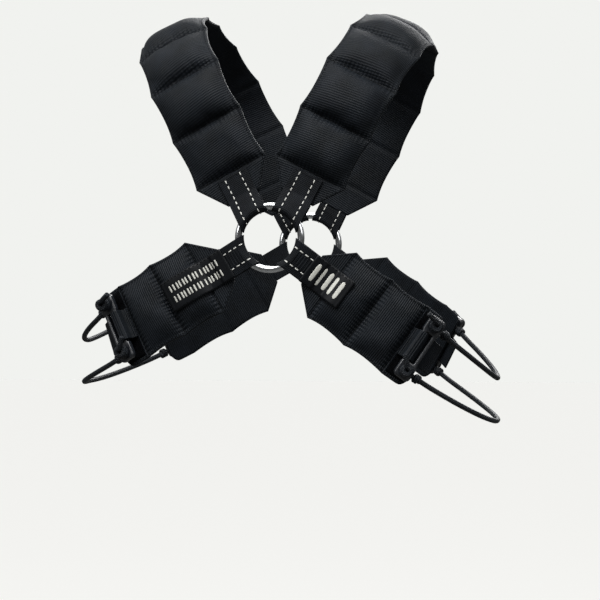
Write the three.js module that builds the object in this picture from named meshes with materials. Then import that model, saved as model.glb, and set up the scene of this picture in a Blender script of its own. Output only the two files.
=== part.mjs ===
// A weighted harness vest: two chambered shoulder pads and four chambered flank pads meet in an X at a steel ring
// on the back and another on the chest. Elastic cords tie the flank pads together round each side of the body.
// Millimetres, +Z up. The origin is midway between the shoulders, where the pads cross them. The wearer faces +Y.
import * as THREE from 'three';

// The body that the vest is worn on, measured from the shoulder crossing. It is only a form to lay the straps on.
const body = {
  halfWidth: 168,
  backDepth: 90,
  chestDepth: 108,
  sideSquareness: 3,
  shoulderHeight: 74,
  shoulderRoundness: 2.2,
  shoulderLean: 25,
};

const ring = { outerDiameter: 55, wireDiameter: 5.5, lift: 5.6, depthBelowShoulder: 168 };
const shoulder = { crossing: 92, loopOffset: 4.2 };
// How far each side's flank strap drops below level: the vest sits a little crooked, as worn.
const flankDrop = { left: 30.5, right: 37.5 };
const webbing = { width: 25, thickness: 1.4 };
const clearance = 0.35;

const shoulderPad = {
  width: 62, start: 37, taper: 23, chambers: 9, seamThickness: 3, bulge: 10.5, scallop: 1.6, hem: 2.2,
};
const flankPad = {
  width: 64, start: 41, taper: 20, pitch: 35, chambers: 2, seamThickness: 3, bulge: 7.5, scallop: 1.2, hem: 2.2,
};
const flap = { length: 20, thickness: 2, cornerRadius: 6, barInset: 8 };
const label = { width: 25.5, thickness: 0.6, start: 38.5, leftEnd: 94, rightEnd: 75 };
const loopEnd = { shoulder: 58, flank: 46 }; // how far from the ring's centre each loop's outer leg reaches
const bar = {
  length: 56, blockLength: 14, blockDepth: 14.5, barWidth: 3.3, slot: 5.6, thickness: 4.6, eyelet: 3, corner: 3.4,
};
const barWebbing = { beyond: 12, behind: 3.5 };
const cord = { diameter: 4.2, inset: 7, sideSpacing: 34, bend: 3, slack: 0.6, landing: 7, levelFrom: 14, stations: 14 };
const knot = { diameter: 10.5, height: 7, tail: 7, tailShare: 0.95, shoulder: 0.2 };

const wireRadius = ring.wireDiameter / 2;
const ringRadius = (ring.outerDiameter - ring.wireDiameter) / 2;
const cordRadius = cord.diameter / 2;
const innerFace = 0.5; // the pads' inner face, just off the body
const flapTop = innerFace + flap.thickness;
const barBottom = flapTop + cord.diameter + 2 * clearance;
const barTop = barBottom + bar.thickness;
const eyeletAcross = bar.length / 2 - cord.inset;

const black = (roughness) => new THREE.MeshStandardMaterial({ color: 0x14161a, roughness, metalness: 0 });
const materials = {
  padding: black(0.85),
  webbing: black(0.8),
  satin: new THREE.MeshStandardMaterial({ color: 0x0b0b0d, roughness: 0.45, metalness: 0 }),
  elastic: black(0.7),
  plastic: new THREE.MeshStandardMaterial({ color: 0x1b1c1e, roughness: 0.4, metalness: 0 }),
  steel: new THREE.MeshStandardMaterial({ color: 0xc8ccd0, roughness: 0.2, metalness: 1 }),
};

const vest = new THREE.Group();
const radians = THREE.MathUtils.degToRad;
const add = (name, geometry, material) => {
  const mesh = new THREE.Mesh(geometry, material);
  mesh.name = name;
  vest.add(mesh);
  return mesh;
};

// A track is a line on the body with an outward normal, read by the length run from the back ring's centre.
function makeTrack(samples) {
  const run = [0];
  for (let i = 1; i < samples.length; i++) run.push(run[i - 1] + samples[i].point.distanceTo(samples[i - 1].point));
  const length = run[run.length - 1];
  const between = (s) => {
    let i = 1;
    while (i < run.length - 1 && run[i] < s) i++;
    const share = (s - run[i - 1]) / (run[i] - run[i - 1]);
    return {
      point: samples[i - 1].point.clone().lerp(samples[i].point, share),
      normal: samples[i - 1].normal.clone().lerp(samples[i].normal, share),
    };
  };
  const at = (s) => {
    const half = 2;
    const { point, normal } = between(s);
    const along = between(s + half).point.sub(between(s - half).point).normalize();
    const out = normal.addScaledVector(along, -normal.dot(along)).normalize();
    return { point, along, out, across: out.clone().cross(along) };
  };
  return { length, at };
}

// The same track read from the chest ring's end.
const fromChest = (track) => ({
  length: track.length,
  at: (s) => {
    const { point, along, out, across } = track.at(track.length - s);
    return { point, along: along.negate(), out, across: across.negate() };
  },
});

// A point at a run along the track, a distance across it and a height off the body.
const place = (track, s, b, n) => {
  const f = track.at(s);
  return f.point.addScaledVector(f.across, b).addScaledVector(f.out, n);
};

const trackSteps = 240;
const flatShare = 0.45; // the share of a shoulder track's samples below the shoulder's curve

// Over the shoulder: up the back in a straight line seen from behind, round the shoulder and down the chest.
// It starts abreast of the ring's centre, set off to its own side so that the two loops clear each other.
function shoulderTrack(side) {
  const power = 2 / body.shoulderRoundness;
  const reach = Math.hypot(shoulder.crossing, ring.depthBelowShoulder);
  const angle = Math.atan2(shoulder.crossing, ring.depthBelowShoulder) - Math.asin(shoulder.loopOffset / reach);
  const startX = shoulder.loopOffset * Math.cos(angle);
  const startDepth = ring.depthBelowShoulder + shoulder.loopOffset * Math.sin(angle);
  const flat = startDepth - body.shoulderHeight;
  const samples = [];
  for (let i = 0; i <= trackSteps; i++) {
    const turn = (i / trackSteps) * 2 - 1; // -1 at the back ring, 0 on the shoulder, 1 at the chest ring
    const face = Math.sign(turn);
    const depth = turn < 0 ? body.backDepth : body.chestDepth;
    const share = 1 - Math.abs(turn);
    const arch = (Math.PI / 2) * Math.max(0, (share - flatShare) / (1 - flatShare));
    const climb = flat + body.shoulderHeight * Math.sin(arch) ** power;
    const rise = share < flatShare ? (flat * share) / flatShare : climb;
    const x = startX + (shoulder.crossing - startX) * (rise / startDepth);
    const fall = (1 - (x / body.halfWidth) ** body.sideSquareness) ** 0.5;
    const y = face * depth * fall * Math.cos(arch) ** power;
    const backSlope = (body.sideSquareness * depth * x ** 2) / (2 * body.halfWidth ** 3 * fall);
    const lean = THREE.MathUtils.lerp(backSlope, Math.tan(radians(body.shoulderLean)), Math.sin(arch));
    const normal = new THREE.Vector3(
      0,
      (face * Math.cos(arch) ** (2 - power)) / depth,
      Math.sin(arch) ** (2 - power) / body.shoulderHeight,
    );
    normal.normalize().setX(side * lean);
    samples.push({ point: new THREE.Vector3(side * x, y, rise - startDepth), normal: normal.normalize() });
  }
  return makeTrack(samples);
}

// Round the side: the body cut by a plane that drops away from the rings.
function flankTrack(side, drop) {
  const p = body.sideSquareness;
  const samples = [];
  for (let i = 0; i <= trackSteps; i++) {
    const turn = (Math.PI * i) / trackSteps;
    const depth = i < trackSteps / 2 ? body.backDepth : body.chestDepth;
    const x = body.halfWidth * Math.sin(turn) ** (2 / p);
    const y = -depth * Math.cos(turn);
    const z = -ring.depthBelowShoulder - x * Math.tan(radians(drop));
    const normal = new THREE.Vector3((side * p * x ** (p - 1)) / body.halfWidth ** p, (2 * y) / depth ** 2, 0);
    samples.push({ point: new THREE.Vector3(side * x, y, z), normal: normal.normalize() });
  }
  return makeTrack(samples);
}

// A closed solid between an outer and an inner face, given as rows of [outer, inner] point pairs.
function sheetSolid(rows) {
  const down = rows.length;
  const over = rows[0].length;
  const positions = [];
  rows.forEach((row) => row.forEach(([outer, inner]) => positions.push(...outer.toArray(), ...inner.toArray())));
  const index = (i, j, face) => (i * over + j) * 2 + face;
  const faces = [];
  const quad = (a, b, c, d) => faces.push(a, b, c, a, c, d);
  for (let i = 0; i < down - 1; i++) {
    for (let j = 0; j < over - 1; j++) {
      quad(index(i, j, 0), index(i + 1, j, 0), index(i + 1, j + 1, 0), index(i, j + 1, 0));
      quad(index(i, j, 1), index(i, j + 1, 1), index(i + 1, j + 1, 1), index(i + 1, j, 1));
    }
    quad(index(i, 0, 0), index(i, 0, 1), index(i + 1, 0, 1), index(i + 1, 0, 0));
    quad(index(i, over - 1, 0), index(i + 1, over - 1, 0), index(i + 1, over - 1, 1), index(i, over - 1, 1));
  }
  for (let j = 0; j < over - 1; j++) {
    quad(index(0, j, 0), index(0, j + 1, 0), index(0, j + 1, 1), index(0, j, 1));
    quad(index(down - 1, j, 0), index(down - 1, j, 1), index(down - 1, j + 1, 1), index(down - 1, j + 1, 0));
  }
  return new THREE.BufferGeometry()
    .setAttribute('position', new THREE.Float32BufferAttribute(positions, 3))
    .setIndex(faces);
}

// The first and the last stitched seam of a pad. Its chambers lie between them.
const firstSeam = (pad) => pad.start + pad.taper;
const lastSeam = (pad) => firstSeam(pad) + pad.pitch * pad.chambers;

// The height of a pad's outer face off the body. Each chamber swells between its two seams.
function padTop(pad, s, u) {
  const flatTop = innerFace + pad.seamThickness;
  if (s <= firstSeam(pad) || s >= lastSeam(pad)) return flatTop;
  const phase = ((s - firstSeam(pad)) / pad.pitch) % 1;
  const swell = Math.abs(Math.sin(Math.PI * phase)) ** 0.6;
  const edge = Math.min(1, Math.abs(u) / (1 - (2 * pad.hem) / pad.width));
  return flatTop + pad.bulge * swell * (1 - edge ** 3.5);
}

// Half the width: tapered from the webbing to the full pad, and drawn in a little where a chamber is full.
function padHalfWidth(pad, s, end) {
  const narrow = webbing.width / 2 + 1.5;
  const full = pad.width / 2;
  const first = firstSeam(pad);
  if (s < first) return THREE.MathUtils.lerp(narrow, full, (s - pad.start) / pad.taper);
  if (s > lastSeam(pad)) return end(s - lastSeam(pad), full, narrow);
  return full - pad.scallop * Math.sin(Math.PI * (((s - first) / pad.pitch) % 1)) ** 2;
}

// A flank pad ends in a thin flap with rounded corners, which the bar lies on.
const flankTop = (pad, s, u) => (s > lastSeam(pad) + 1 ? flapTop : padTop(pad, s, u));
const flapRuns = [1.5, ...[0, 0.4, 0.72, 0.92, 1].map((share) => flap.length - flap.cornerRadius * (1 - share))];

const taperEnd = (run, full, narrow) => THREE.MathUtils.lerp(full, narrow, run / shoulderPad.taper);
const flapEnd = (run, full) => {
  const into = Math.max(0, run - (flap.length - flap.cornerRadius));
  return full - flap.cornerRadius + Math.sqrt(flap.cornerRadius ** 2 - into ** 2);
};

const chamberShares = [0, 0.1, 0.32, 0.68, 0.9];
const acrossShares = (pad) => {
  const hemShare = 1 - (2 * pad.hem) / pad.width;
  return [-1, -hemShare, -0.6 * hemShare, 0, 0.6 * hemShare, hemShare, 1];
};

function padSolid(track, pad, endRuns, end, top) {
  const runs = [pad.start];
  for (let chamber = 0; chamber < pad.chambers; chamber++)
    chamberShares.forEach((share) => runs.push(firstSeam(pad) + pad.pitch * (chamber + share)));
  runs.push(lastSeam(pad), ...endRuns.map((run) => lastSeam(pad) + run));
  return sheetSolid(
    runs.map((s) =>
      acrossShares(pad).map((u) => {
        const b = u * padHalfWidth(pad, s, end);
        return [place(track, s, b, top(pad, s, u)), place(track, s, b, innerFace)];
      }),
    ),
  );
}

// Webbing folded round the ring. Its fold follows the wire, and its outer leg runs on over the pad.
function ringLoop(track, pad, offset, outerEnd) {
  const half = webbing.thickness / 2;
  const fold = wireRadius + clearance + half;
  const low = innerFace + half;
  const rest = innerFace + pad.seamThickness + clearance + half;
  const columns = 4;
  const turns = 6;
  const lines = [];
  for (let j = 0; j <= columns; j++) {
    const b = (j / columns - 0.5) * webbing.width;
    const wire = Math.sqrt(ringRadius ** 2 - (b + offset) ** 2);
    const stretch = ringRadius / wire; // the wire crosses the webbing askew, so its section is longer there
    const line = [[pad.start - clearance, low], [wire + fold * stretch, low]];
    for (let k = 0; k <= turns; k++) {
      const turn = Math.PI * (k / turns);
      line.push([wire - fold * stretch * Math.sin(turn), ring.lift - fold * Math.cos(turn)]);
    }
    line.push([wire + fold * stretch, ring.lift + 0.7 * fold], [pad.start + 3, rest], [outerEnd, rest]);
    lines.push({ b, line });
  }
  const count = lines[0].line.length;
  const rows = [];
  for (let i = 0; i < count; i++) {
    rows.push(
      lines.map(({ b, line }) => {
        const before = line[Math.max(0, i - 1)];
        const after = line[Math.min(count - 1, i + 1)];
        const size = Math.hypot(after[0] - before[0], after[1] - before[1]);
        const normal = [-(after[1] - before[1]) / size, (after[0] - before[0]) / size];
        const [s, n] = line[i];
        return [half, -half].map((t) => place(track, s + normal[0] * t, b, n + normal[1] * t));
      }),
    );
  }
  return sheetSolid(rows);
}

// A label's ribbon. It starts over the loop's outer leg and runs down onto the pad and over its first chamber.
function labelRibbon(track, end) {
  const fold = wireRadius + clearance + webbing.thickness / 2;
  const legStart = [ringRadius + fold, ring.lift + 0.7 * fold];
  const legRest = [flankPad.start + 3, innerFace + flankPad.seamThickness + clearance + webbing.thickness / 2];
  const overLeg = (s) => {
    const share = Math.min(1, (s - legStart[0]) / (legRest[0] - legStart[0]));
    return THREE.MathUtils.lerp(legStart[1], legRest[1], share) + webbing.thickness / 2 + 0.1;
  };
  const bed = (s, b) =>
    clearance + (s < loopEnd.flank + 1 ? overLeg(s) : padTop(flankPad, s, b / padHalfWidth(flankPad, s)));
  const chamberRuns = chamberShares.map((share) => firstSeam(flankPad) + flankPad.pitch * share);
  const runs = [label.start, legRest[0], loopEnd.flank + 0.8, loopEnd.flank + 2.5, ...chamberRuns, end];
  return sheetSolid(
    runs
      .filter((s) => s <= end)
      .map((s) =>
        [-label.width / 2, 0, label.width / 2].map((b) =>
          [label.thickness, 0].map((up) => place(track, s, b, bed(s, b) + up)),
        ),
      ),
  );
}

const steps = (from, to, count) => Array.from({ length: count + 1 }, (_, i) => from + ((to - from) * i) / count);

// A steel ring standing off the body, its axis along Y.
function bodyRing(name, y) {
  const mesh = add(name, new THREE.TorusGeometry(ringRadius, wireRadius, 8, 36), materials.steel);
  mesh.rotation.x = Math.PI / 2;
  mesh.position.set(0, y, -ring.depthBelowShoulder);
}

// The bar lies on the flap, this far from the ring's centre.
const barRun = lastSeam(flankPad) + flap.length - flap.barInset;

// The plastic bar that the side cords are tied to: two long bars between end blocks with eyelets.
function barGeometry() {
  const halfLength = bar.length / 2;
  const halfDepth = bar.blockDepth / 2;
  const halfWaist = bar.slot / 2 + bar.barWidth;
  const waist = halfLength - bar.blockLength;
  const shape = new THREE.Shape();
  shape.moveTo(-halfDepth, -halfLength + bar.corner);
  shape.absarc(-halfDepth + bar.corner, -halfLength + bar.corner, bar.corner, Math.PI, 1.5 * Math.PI);
  shape.absarc(halfDepth - bar.corner, -halfLength + bar.corner, bar.corner, 1.5 * Math.PI, 2 * Math.PI);
  shape.lineTo(halfDepth, -waist);
  shape.lineTo(halfWaist, -waist + 1);
  shape.lineTo(halfWaist, waist - 1);
  shape.lineTo(halfDepth, waist);
  shape.absarc(halfDepth - bar.corner, halfLength - bar.corner, bar.corner, 0, 0.5 * Math.PI);
  shape.absarc(-halfDepth + bar.corner, halfLength - bar.corner, bar.corner, 0.5 * Math.PI, Math.PI);
  shape.lineTo(-halfDepth, waist);
  shape.lineTo(-halfWaist, waist - 1);
  shape.lineTo(-halfWaist, -waist + 1);
  shape.lineTo(-halfDepth, -waist);
  const slot = new THREE.Path();
  const slotEnd = waist - 0.8;
  slot.moveTo(-bar.slot / 2, -slotEnd);
  slot.lineTo(-bar.slot / 2, slotEnd);
  slot.lineTo(bar.slot / 2, slotEnd);
  slot.lineTo(bar.slot / 2, -slotEnd);
  shape.holes.push(slot);
  [-1, 1].forEach((end) => {
    const eyelet = new THREE.Path();
    eyelet.absarc(0, end * (halfLength - cord.inset), bar.eyelet, 0, 2 * Math.PI, true);
    shape.holes.push(eyelet);
  });
  return new THREE.ExtrudeGeometry(shape, { depth: bar.thickness, bevelEnabled: false, curveSegments: 4 });
}

// Sets a mesh on the track, its X along, Y across and Z off the body.
function seat(mesh, track, s, b, n) {
  const { along, out, across } = track.at(s);
  mesh.position.copy(place(track, s, b, n));
  mesh.quaternion.setFromRotationMatrix(new THREE.Matrix4().makeBasis(along, across, out));
}

// The webbing that holds the bar: over its inner bar, down through the slot, under its outer bar and out.
function barWebbingSolid(track, s) {
  const half = webbing.thickness / 2;
  const gap = half + 2 * clearance;
  const inner = bar.slot / 2;
  const outer = inner + bar.barWidth;
  const around = (run, n, from, to) =>
    steps(radians(from), radians(to), 2).map((turn) => [run + gap * Math.cos(turn), n + gap * Math.sin(turn)]);
  const line = [
    [-outer - gap - barWebbing.behind, flapTop + half + clearance],
    [-outer - gap - half, flapTop + half + 2 * clearance],
    [-outer - gap, barBottom - half],
    ...around(-outer, barTop, 180, 90),
    ...around(-inner, barTop, 90, 0),
    ...around(inner, barBottom, 180, 270),
    [outer, barBottom - gap],
    [outer + barWebbing.beyond / 3, flapTop + half + 2 * clearance],
    [outer + barWebbing.beyond, innerFace + half],
  ];
  return sheetSolid(
    line.map(([run, n], i) => {
      const before = line[Math.max(0, i - 1)];
      const after = line[Math.min(line.length - 1, i + 1)];
      const size = Math.hypot(after[0] - before[0], after[1] - before[1]);
      const normal = [-(after[1] - before[1]) / size, (after[0] - before[0]) / size];
      return [-0.5, 0, 0.5].map((u) =>
        [half, -half].map((t) => place(track, s + run + normal[0] * t, u * webbing.width, n + normal[1] * t)),
      );
    }),
  );
}

// A round tube through points, each given with the direction across it.
function tube(line, radius, sides) {
  const sections = line.map(({ point, across }, i) => {
    const before = line[Math.max(0, i - 1)].point;
    const after = line[Math.min(line.length - 1, i + 1)].point;
    const along = after.clone().sub(before).normalize();
    const u = across.clone().addScaledVector(along, -across.dot(along)).normalize();
    const v = along.clone().cross(u);
    return Array.from({ length: sides }, (_, k) => {
      const turn = (2 * Math.PI * k) / sides;
      return point.clone().addScaledVector(u, radius * Math.cos(turn)).addScaledVector(v, radius * Math.sin(turn));
    });
  });
  const positions = sections.flat().flatMap((p) => p.toArray());
  const faces = [];
  for (let i = 0; i < sections.length - 1; i++) {
    for (let k = 0; k < sides; k++) {
      const next = (k + 1) % sides;
      const [a, b, c, d] = [i * sides + k, i * sides + next, (i + 1) * sides + next, (i + 1) * sides + k];
      faces.push(a, b, c, a, c, d);
    }
  }
  const last = (sections.length - 1) * sides;
  for (let k = 1; k < sides - 1; k++) faces.push(0, k + 1, k, last, last + k, last + k + 1);
  return new THREE.BufferGeometry()
    .setAttribute('position', new THREE.Float32BufferAttribute(positions, 3))
    .setIndex(faces);
}

// A side cord: down through the back bar's eyelet, round the body and up through the chest bar's eyelet.
function sideCord(track, edge) {
  const sideAcross = (edge * cord.sideSpacing) / 2;
  const low = innerFace + cordRadius;
  const overFlap = flapTop + clearance + cordRadius;
  const turns = 4;
  const end = [[-cord.slack, barTop + clearance], [-cord.slack, overFlap + cord.bend]];
  for (let k = 1; k <= turns; k++) {
    const turn = (Math.PI / 2) * (k / turns);
    end.push([cord.bend * (1 - Math.cos(turn)) - cord.slack, overFlap + cord.bend * (1 - Math.sin(turn))]);
  }
  end.push([flap.length / 2 + 1, overFlap], [flap.length / 2 + cord.landing, low + 1]);
  const chestRun = track.length - barRun;
  const from = barRun + flap.length / 2 + cord.levelFrom;
  const to = track.length - from;
  const point = (s, n) => {
    const share = Math.min(1, Math.max(0, Math.min(s - barRun, chestRun - s) / (track.length / 2 - barRun)));
    const b = THREE.MathUtils.lerp(edge * eyeletAcross, sideAcross, share);
    return { point: place(track, s, b, n), across: track.at(s).across };
  };
  const line = [
    ...end.map(([run, n]) => point(barRun + run, n)),
    ...steps(from, to, cord.stations).map((s) => point(s, low)),
    ...end.map(([run, n]) => point(chestRun - run, n)).reverse(),
  ];
  return tube(line, cordRadius, 8);
}

// The knot that stops a cord above its eyelet, with a short tail.
function knotGeometry() {
  const radius = knot.diameter / 2;
  const tailRadius = cordRadius * knot.tailShare;
  const tailEnd = knot.height + knot.tail;
  const profile = [
    [0, 0], [0.62, 0], [0.95, 0.25], [1, 0.5], [0.9, 0.8], [0.5, 1],
  ].map(([across, up]) => new THREE.Vector2(across * radius, up * knot.height));
  profile.push(new THREE.Vector2(tailRadius, knot.height + knot.shoulder));
  profile.push(new THREE.Vector2(tailRadius, tailEnd), new THREE.Vector2(0, tailEnd));
  return new THREE.LatheGeometry(profile, 8).rotateX(Math.PI / 2);
}

for (const [name, side] of [['left', -1], ['right', 1]]) {
  const shoulderLine = shoulderTrack(side);
  const flankLine = flankTrack(side, flankDrop[name]);
  const pad = { ...shoulderPad, pitch: (shoulderLine.length - 2 * firstSeam(shoulderPad)) / shoulderPad.chambers };
  add(`shoulder_pad_${name}`, padSolid(shoulderLine, pad, [pad.taper], taperEnd, padTop), materials.padding);

  for (const [face, shoulderRun, flankRun, up] of [
    ['back', shoulderLine, flankLine, side],
    ['chest', fromChest(shoulderLine), fromChest(flankLine), -side],
  ]) {
    const id = `${face}_${name}`;
    const loopSide = -up * shoulder.loopOffset;
    add(`shoulder_loop_${id}`, ringLoop(shoulderRun, pad, loopSide, loopEnd.shoulder), materials.webbing);
    add(`flank_loop_${id}`, ringLoop(flankRun, flankPad, 0, loopEnd.flank), materials.webbing);
    add(`flank_pad_${id}`, padSolid(flankRun, flankPad, flapRuns, flapEnd, flankTop), materials.padding);
    seat(add(`cord_bar_${id}`, barGeometry(), materials.plastic), flankRun, barRun, 0, barBottom);
    add(`bar_webbing_${id}`, barWebbingSolid(flankRun, barRun), materials.webbing);
    for (const [level, edge] of [['upper', up], ['lower', -up]]) {
      const stopper = add(`cord_knot_${level}_${id}`, knotGeometry(), materials.elastic);
      seat(stopper, flankRun, barRun, edge * eyeletAcross, barTop + 2 * clearance);
    }
  }
  for (const [level, edge] of [['upper', side], ['lower', -side]])
    add(`side_cord_${level}_${name}`, sideCord(flankLine, edge), materials.elastic);

  add(`label_${name}`, labelRibbon(flankLine, name === 'left' ? label.leftEnd : label.rightEnd), materials.satin);
}

bodyRing('back_ring', -body.backDepth - ring.lift);
bodyRing('chest_ring', body.chestDepth + ring.lift);

export default vest;
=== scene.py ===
import math
import bpy
import bmesh
import numpy as np
from mathutils import Matrix, Vector


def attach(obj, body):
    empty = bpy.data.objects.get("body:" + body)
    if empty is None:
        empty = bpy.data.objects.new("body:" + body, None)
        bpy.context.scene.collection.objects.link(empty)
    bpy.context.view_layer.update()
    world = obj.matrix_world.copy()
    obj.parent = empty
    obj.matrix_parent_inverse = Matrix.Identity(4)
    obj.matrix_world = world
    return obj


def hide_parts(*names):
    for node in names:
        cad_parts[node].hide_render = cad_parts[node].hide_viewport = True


# Weighted harness vest seen from behind: chambered pads, steel rings, webbing loops, cord bars, side cords.
# Everything is in millimetres until a mesh is made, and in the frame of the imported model.
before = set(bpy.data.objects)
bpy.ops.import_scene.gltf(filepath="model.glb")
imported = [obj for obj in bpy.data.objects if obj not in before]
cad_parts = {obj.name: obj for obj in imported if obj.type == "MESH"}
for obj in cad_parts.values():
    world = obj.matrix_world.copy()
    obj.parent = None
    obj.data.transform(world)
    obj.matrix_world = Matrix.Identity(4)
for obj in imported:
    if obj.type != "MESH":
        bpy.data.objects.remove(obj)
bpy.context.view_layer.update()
scene = bpy.context.scene
scene.view_settings.view_transform = "Standard"
mm = 0.001

body = {"halfWidth": 168, "backDepth": 90, "chestDepth": 108, "sideSquareness": 3,
        "shoulderHeight": 74, "shoulderRoundness": 2.2, "shoulderLean": 25}
ring = {"outer": 55, "wire": 5.5, "lift": 5.6, "depth": 168}
webbing = {"width": 25, "thick": 1.4, "gap": 0.35, "offset": 4.2, "crossing": 92}
shoulderPad = {"width": 62, "start": 37, "taper": 23, "chambers": 9, "bulge": 10.5, "scallop": 2.2,
               "seamThick": 3, "hem": 2.2, "step": 3.0}
flankPad = {"width": 64, "start": 41, "taper": 20, "chambers": 2, "pitch": 35, "bulge": 7.5, "scallop": 2.0,
            "seamThick": 3, "hem": 2.2, "step": 2.6, "flap": 20, "flapThick": 2, "flapCorner": 6}
drops = {"left": 30.5, "right": 37.5}
innerFace = 0.5


def linked(name, data):
    thing = bpy.data.objects.new(name, data)
    scene.collection.objects.link(thing)
    return thing


# The camera stands level behind the wearer, a little to the right.
camera = {"turn": 9, "away": 1800, "pixel": 0.78, "image": 600, "ringAt": (269.7, 237.7)}


def makeCamera():
    turn = math.radians(camera["turn"])
    forward = Vector((-math.sin(turn), math.cos(turn), 0))
    right = Vector((math.cos(turn), math.sin(turn), 0))
    ringCentre = Vector((0, -body["backDepth"] - ring["lift"], -ring["depth"]))
    middle = camera["image"] / 2
    aside = (middle - camera["ringAt"][0]) * camera["pixel"]
    below = (middle - camera["ringAt"][1]) * camera["pixel"]
    place = ringCentre + right * aside - Vector((0, 0, below)) - forward * camera["away"]
    data = bpy.data.cameras.new("backCamera")
    data.sensor_width = 36
    data.lens = camera["away"] * data.sensor_width / (camera["pixel"] * camera["image"])
    seen = linked("backCamera", data)
    seen.location = place * mm
    seen.rotation_euler = (math.pi / 2, 0, turn)
    scene.camera = seen


makeCamera()
print("camera set")


def unit(vectors):
    return vectors / np.linalg.norm(vectors, axis=-1, keepdims=True)


# The length run along a line, at each of its points.
def lengthsAlong(line):
    steps = np.linalg.norm(np.diff(line, axis=0), axis=1)
    return np.concatenate([[0], np.cumsum(steps)])


def evenLine(line, count):
    run = lengthsAlong(line)
    t = np.linspace(0, run[-1], count)
    return np.stack([np.interp(t, run, part) for part in line.T], axis=1)


# Each point between the ends moves halfway to the middle of its neighbours, once in each pass.
def relaxed(line, passes):
    for _ in range(passes):
        line[1:-1] = line[1:-1] / 2 + (line[:-2] + line[2:]) / 4
    return line


slopeReach = 2


# Tracks: lines on the body with an outward direction, read by the length run from the back ring's centre.
class Track:
    def __init__(self, points, normals, turned=False):
        self.points, self.normals = points, normals
        self.run = lengthsAlong(points)
        self.length = self.run[-1]
        self.turned = turned

    def between(self, s):
        s = np.asarray(s, float)
        i = np.clip(np.searchsorted(self.run, s), 1, len(self.run) - 1)
        share = ((s - self.run[i - 1]) / (self.run[i] - self.run[i - 1]))[..., None]
        point = self.points[i - 1] * (1 - share) + self.points[i] * share
        normal = self.normals[i - 1] * (1 - share) + self.normals[i] * share
        return point, normal

    def at(self, s):
        s = self.length - np.asarray(s, float) if self.turned else np.asarray(s, float)
        point, normal = self.between(s)
        along = unit(self.between(s + slopeReach)[0] - self.between(s - slopeReach)[0])
        out = unit(normal - along * np.sum(normal * along, axis=-1, keepdims=True))
        if self.turned:
            along = -along
        return point, along, out, np.cross(out, along)

    def place(self, s, b, n):
        s, b, n = np.broadcast_arrays(np.asarray(s, float), b, n)
        point, along, out, across = self.at(s)
        return point + across * b[..., None] + out * n[..., None]

    def fromChest(self):
        return Track(self.points, self.normals, True)


trackSteps = 240
flatShare = 0.45


def shoulderTrack(side):
    power = 2 / body["shoulderRoundness"]
    reach = math.hypot(webbing["crossing"], ring["depth"])
    angle = math.atan2(webbing["crossing"], ring["depth"]) - math.asin(webbing["offset"] / reach)
    startX = webbing["offset"] * math.cos(angle)
    startDepth = ring["depth"] + webbing["offset"] * math.sin(angle)
    flat = startDepth - body["shoulderHeight"]
    turn = np.arange(trackSteps + 1) / trackSteps * 2 - 1
    face = np.sign(turn)
    depth = np.where(turn < 0, body["backDepth"], body["chestDepth"])
    share = 1 - np.abs(turn)
    arch = np.pi / 2 * np.maximum(0, (share - flatShare) / (1 - flatShare))
    cosine = np.maximum(np.cos(arch), 0)
    climb = flat + body["shoulderHeight"] * np.sin(arch) ** power
    rise = np.where(share < flatShare, flat * share / flatShare, climb)
    x = startX + (webbing["crossing"] - startX) * rise / startDepth
    fall = (1 - (x / body["halfWidth"]) ** body["sideSquareness"]) ** 0.5
    y = face * depth * fall * cosine ** power
    slope = body["sideSquareness"] * depth * x ** 2 / (2 * body["halfWidth"] ** 3 * fall)
    lean = slope + (math.tan(math.radians(body["shoulderLean"])) - slope) * np.sin(arch)
    normal = unit(np.stack([np.zeros_like(x), face * cosine ** (2 - power) / depth,
                            np.sin(arch) ** (2 - power) / body["shoulderHeight"]], axis=1))
    normal[:, 0] = side * lean
    return Track(np.stack([side * x, y, rise - startDepth], axis=1), normal)


def flankTrack(side, drop):
    p = body["sideSquareness"]
    turn = np.pi * np.arange(trackSteps + 1) / trackSteps
    depth = np.where(turn < np.pi / 2, body["backDepth"], body["chestDepth"])
    x = body["halfWidth"] * np.maximum(np.sin(turn), 0) ** (2 / p)
    y = -depth * np.cos(turn)
    z = -ring["depth"] - x * math.tan(math.radians(drop))
    normal = np.stack([side * p * x ** (p - 1) / body["halfWidth"] ** p, 2 * y / depth ** 2, 0 * x], axis=1)
    return Track(np.stack([side * x, y, z], axis=1), normal)


# Meshes from grids of points. A grid is rows by columns by 3; rows run along the strap, columns across it.
def meshFrom(name, points, faces, uv=None):
    mesh = bpy.data.meshes.new(name)
    mesh.from_pydata((np.asarray(points).reshape(-1, 3) * mm).tolist(), [], faces)
    if uv is not None:
        layer = mesh.uv_layers.new(name="cloth")
        corners = np.empty(len(mesh.loops), np.int32)
        mesh.loops.foreach_get("vertex_index", corners)
        layer.data.foreach_set("uv", np.asarray(uv, np.float32).reshape(-1, 2)[corners].ravel())
    mesh.polygons.foreach_set("use_smooth", [True] * len(mesh.polygons))
    return linked(name, mesh)


def gridFaces(rows, columns, first=0, flip=False):
    i, j = np.meshgrid(np.arange(rows - 1), np.arange(columns - 1), indexing="ij")
    a = (first + i * columns + j).ravel()
    quads = np.stack([a, a + columns, a + columns + 1, a + 1], axis=1)
    return (quads[:, ::-1] if flip else quads).tolist()


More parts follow.
